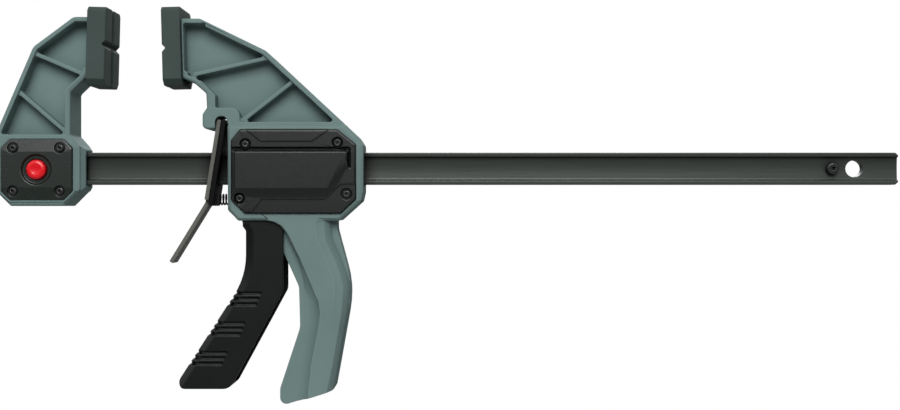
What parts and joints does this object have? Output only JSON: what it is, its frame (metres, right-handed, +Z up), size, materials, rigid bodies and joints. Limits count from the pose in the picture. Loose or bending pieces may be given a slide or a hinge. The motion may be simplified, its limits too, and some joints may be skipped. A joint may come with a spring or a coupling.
{
  "type": "quick release bar clamp",
  "caption": "One-hand bar clamp with a trigger-driven sliding jaw, a release lever, soft pads and a fixed jaw held by a lock button.",
  "frame": {"origin": "centre of the hanging hole near the bar's free end, on the bar's middle plane", "axes": "+X along the bar toward its free end, +Y across the bar along the hanging hole, toward the side with the stop nut, +Z up toward the tips of the jaws"},
  "size_m": [0.5322, 0.0352, 0.2331],
  "materials": {
    "steel": "blackened steel, semi-gloss",
    "green": "glass-filled nylon, satin grey-green",
    "black": "glass-filled nylon, satin black",
    "cover": "dark grey nylon, satin",
    "pad": "soft dark grey elastomer",
    "red": "glossy red plastic",
    "bright": "plain steel",
    "screw": "black oxide steel"
  },
  "bodies": {
    "bar": {"bar": "steel", "stop_screw": "screw", "stop_nut": "screw", "fixed_jaw": "green", "fixed_pad": "pad", "lock_cover_front": "cover", "lock_cover_back": "cover", "lock_screws_front": "screw", "lock_screws_back": "screw", "lock_spring": "bright"},
    "lock": {"lock_button": "red", "lock_pin": "bright"},
    "slider": {"body": "green", "moving_pad": "pad", "mechanism_cover_front": "black", "mechanism_cover_back": "black", "cover_screws_front": "screw", "cover_screws_back": "screw", "trigger_pin": "bright", "drive_spring": "bright", "brake_spring": "bright"},
    "trigger": {"trigger": "black"},
    "drive": {"drive_plates": "bright"},
    "brake": {"brake_plate": "screw"},
    "lever": {"release_lever": "steel"}
  },
  "joints": [
    {"name": "jaw_slide", "type": "slide", "parent": "bar", "child": "slider", "axis": [1, 0, 0], "range_m": [-0.031, 0.272]},
    {"name": "trigger_pivot", "type": "hinge", "parent": "slider", "child": "trigger", "pos_m": [-0.3495, 0, 0.0146], "axis": [0, -1, 0], "range_deg": [0, 8], "stiffness_Nm_per_rad": 1.5, "springref_deg": -11.46, "deforming": ["drive_spring"]},
    {"name": "drive_slide", "type": "slide", "parent": "slider", "child": "drive", "axis": [1, 0, 0], "range_m": [0, 0.0037]},
    {"name": "release_pivot", "type": "hinge", "parent": "slider", "child": "lever", "pos_m": [-0.3754, 0, 0.0274], "axis": [0, -1, 0], "range_deg": [0, 8], "stiffness_Nm_per_rad": 1, "springref_deg": -11.46, "deforming": ["brake_spring"]},
    {"name": "brake_pivot", "type": "hinge", "parent": "slider", "child": "brake", "pos_m": [-0.37235, 0, 0.0274], "axis": [0, -1, 0], "range_deg": [0, 8]},
    {"name": "lock_press", "type": "slide", "parent": "bar", "child": "lock", "axis": [0, 1, 0], "range_m": [0, 0.0035], "stiffness_N_per_m": 600, "springref_m": -0.003, "deforming": ["lock_spring"]}
  ],
  "couplings": [
    {"joint": "drive_slide", "follows": "trigger_pivot", "m_per_rad": 0.0256},
    {"joint": "brake_pivot", "follows": "release_pivot", "ratio": 1}
  ]
}
